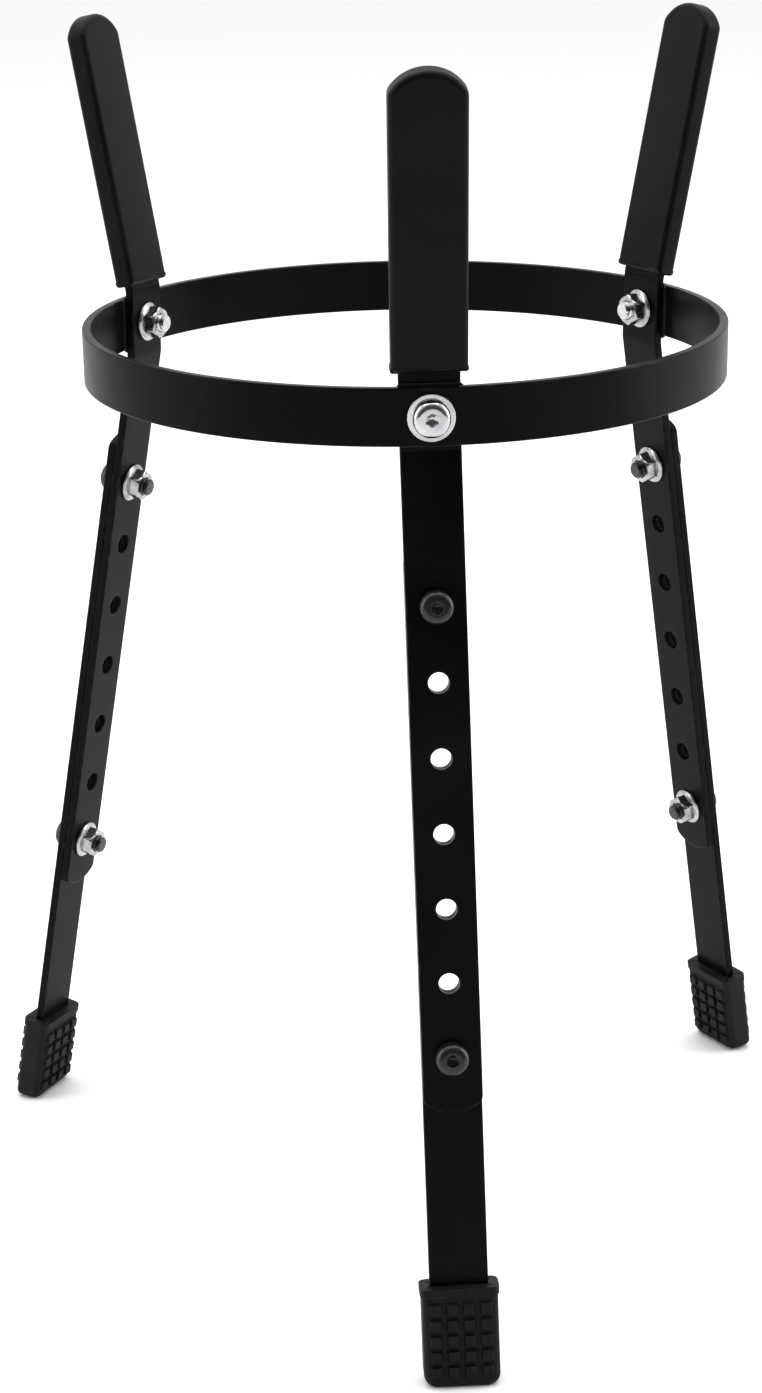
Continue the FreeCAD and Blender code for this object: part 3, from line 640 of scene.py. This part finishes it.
def makeNut(name, place, body, node):
    half, height = nut["flats"] / 2, nut["height"]
    corner = half / math.cos(math.pi / 6)
    rim, lip, flat, chamfer = nut["flange"], nut["lip"], nut["flangeThick"], nut["chamfer"]
    bore, lead = nut["bore"], nut["boreLead"]
    loops = [(bore, 0), (rim - lip, 0), (rim, lip), (rim, flat * 0.6), (rim - 0.0004, flat * 0.9),
             (corner + lip, flat + lip), (half, flat + 2 * lip, corner - 0.0001),
             (half, height - chamfer, corner - 0.0001),
             (half, height - chamfer / 2, half + chamfer * 0.45), (half, height, half - 0.0001),
             (bore + lead, height), (bore, height - lead)]
    bm = bmesh.new()
    turnedLoops(bm, loops, metric["steps"], closed=True)
    addPiece(name, bm, place @ inwards, body, node, zinc, creaseAngle=metric["crease"])


def makeWasher(name, place, body, node):
    outer = roundOver(washer["radius"], washer["thick"], washer["edge"], 3)
    loops = [(washer["bore"], 0), (washer["radius"] - washer["edge"], 0),
             (washer["radius"], washer["edge"])]
    loops += list(reversed(outer)) + [(washer["bore"], washer["thick"])]
    bm = bmesh.new()
    turnedLoops(bm, loops, metric["steps"], closed=True)
    addPiece(name, bm, place @ outwards, body, node, chrome)


def shifted(matrix, x, z=0):
    return matrix @ Matrix.Translation((x, 0, z))


for leg in legNames:
    seat = hoopFrame(leg)
    ringFace = spacer["thick"] + hoop["wall"]
    washerFace = ringFace + washer["thick"]
    makeWasher("hoop_washer_" + leg, shifted(seat, ringFace), "hoop", "ring_washer_" + leg)
    makeBolt("hoop_bolt_" + leg, hoopHead, washerFace + bar["thick"], shifted(seat, washerFace),
             "hoop", "ring_bolt_" + leg, chrome)
    makeNut("hoop_nut_" + leg, shifted(seat, -bar["thick"]), "hoop", "ring_nut_" + leg)
    outerFace = 0 if leg in insideLegs else bar["thick"]
    for place, number in (("upper", 0), ("lower", row["count"] - 1)):
        along = -holeAt(number)
        grip = 2 * bar["thick"]
        makeBolt(f"button_bolt_{place}_{leg}", legHead, grip, shifted(legFrame(leg), outerFace, along),
                 "post_" + leg, f"leg_bolt_{place}_{leg}", blackBolt)
        makeNut(f"flange_nut_{place}_{leg}", shifted(legFrame(leg), outerFace - grip, along),
                "post_" + leg, f"leg_nut_{place}_{leg}")
    node = frame["nodes"]["spacer_" + leg]
    node.data.materials.clear()
    node.data.materials.append(spacerPlastic)
print("fasteners made")


studio = dict(floorSize=16, floorColour=(0.9, 0.9, 0.9, 1), floorRough=0.8, floorShine=0.1,
              sky=1.3, dark=0.12, darkEnd=-0.7, skyStart=-0.15, contrast=0.92)
lights = dict(
    overhead=dict(place=(0, 0.6, 3.0), aim=(0, 0.2, 0.2), size=(3.0, 3.0), power=60),
    left=dict(place=(-2.2, -0.2, 1.1), aim=(0, 0, 0.35), size=(0.8, 2.0), power=16),
    right=dict(place=(2.2, 0.0, 1.1), aim=(0, 0, 0.35), size=(0.8, 2.0), power=24))
view = dict(place=(-0.08665, -1.22538, 0.66197), aim=(-0.01307, 0.00092, 0.23925), roll=-0.87,
            lens=72.124, sensor=36)


def makeFloor():
    mesh = bpy.data.meshes.new("floor")
    bm = bmesh.new()
    bmesh.ops.create_grid(bm, x_segments=1, y_segments=1, size=studio["floorSize"] / 2)
    bm.to_mesh(mesh)
    bm.free()
    floor = bpy.data.objects.new("floor", mesh)
    bpy.context.scene.collection.objects.link(floor)
    material, _, shader, _ = newFinish("pale studio floor")
    shader.inputs["Base Color"].default_value = studio["floorColour"]
    shader.inputs["Roughness"].default_value = studio["floorRough"]
    shader.inputs["Specular IOR Level"].default_value = studio["floorShine"]
    mesh.materials.append(material)


def aimAt(item, place, aim, roll=0):
    item.location = place
    item.rotation_mode = "QUATERNION"
    turn = (Vector(aim) - Vector(place)).to_track_quat("-Z", "Y").to_matrix()
    item.rotation_quaternion = (turn @ Matrix.Rotation(math.radians(roll), 3, "Z")).to_quaternion()
    bpy.context.scene.collection.objects.link(item)


def makeStudio():
    scene = bpy.context.scene
    for name, look in lights.items():
        light = bpy.data.lights.new(name, "AREA")
        light.shape = "RECTANGLE"
        light.size, light.size_y = look["size"]
        light.energy = look["power"]
        aimAt(bpy.data.objects.new(name, light), look["place"], look["aim"])
    world = bpy.data.worlds.new("studio")
    world.use_nodes = True
    tree = world.node_tree
    direction = addNode(tree, "ShaderNodeTexCoord").outputs["Generated"]
    parts = addNode(tree, "ShaderNodeSeparateXYZ", None, Vector=direction)
    tent = stretch(tree, parts.outputs["Y"], studio["darkEnd"], studio["skyStart"],
                   studio["dark"], studio["sky"])  # darker in front
    backdrop = addNode(tree, "ShaderNodeLightPath").outputs["Is Camera Ray"]
    glow = mathNode(tree, "MAXIMUM", tent, backdrop)  # the tent's wall itself looks white
    tree.nodes["Background"].inputs["Color"].default_value = (1, 1, 1, 1)
    tree.links.new(glow, tree.nodes["Background"].inputs["Strength"])
    scene.world = world
    scene.view_settings.view_transform = "Standard"
    scene.view_settings.gamma = studio["contrast"]
    camera = bpy.data.cameras.new("camera")
    camera.lens = view["lens"]
    camera.sensor_width = view["sensor"]
    eye = bpy.data.objects.new("camera", camera)
    aimAt(eye, view["place"], view["aim"], view["roll"])
    scene.camera = eye


makeFloor()
makeStudio()
